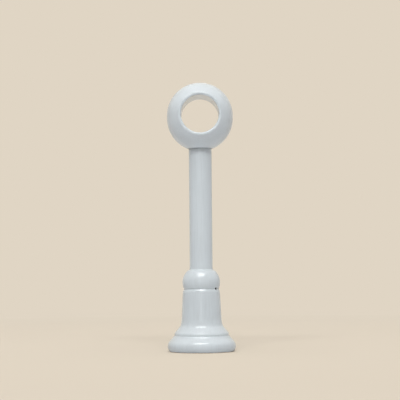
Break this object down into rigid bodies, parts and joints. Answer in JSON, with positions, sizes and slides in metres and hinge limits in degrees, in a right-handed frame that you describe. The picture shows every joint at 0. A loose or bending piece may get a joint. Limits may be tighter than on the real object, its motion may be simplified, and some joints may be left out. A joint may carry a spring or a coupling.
{
  "type": "curtain pole bracket",
  "caption": "Turned wooden curtain pole bracket: a ball head with a through bore on a round arm, on a bell-shaped base with a round flange and a steel wall plate.",
  "frame": {"origin": "centre of the face that meets the wall", "axes": "+Z out of the wall along the arm, Y along the pole's bore"},
  "size_m": [0.0542, 0.0542, 0.2144],
  "materials": {
    "white_lacquer": "white gloss lacquer on turned beech",
    "zinc_plate": "bright zinc plated pressed sheet, slightly blue",
    "zinc_screw": "bright zinc plated, cold headed",
    "zinc_insert": "yellow zinc plated, turned"
  },
  "bodies": {
    "root": {"ball_head": "white_lacquer", "arm": "white_lacquer", "base": "white_lacquer", "wall_plate": "zinc_plate", "centre_screw": "zinc_screw", "threaded_insert": "zinc_insert"}
  },
  "joints": []
}
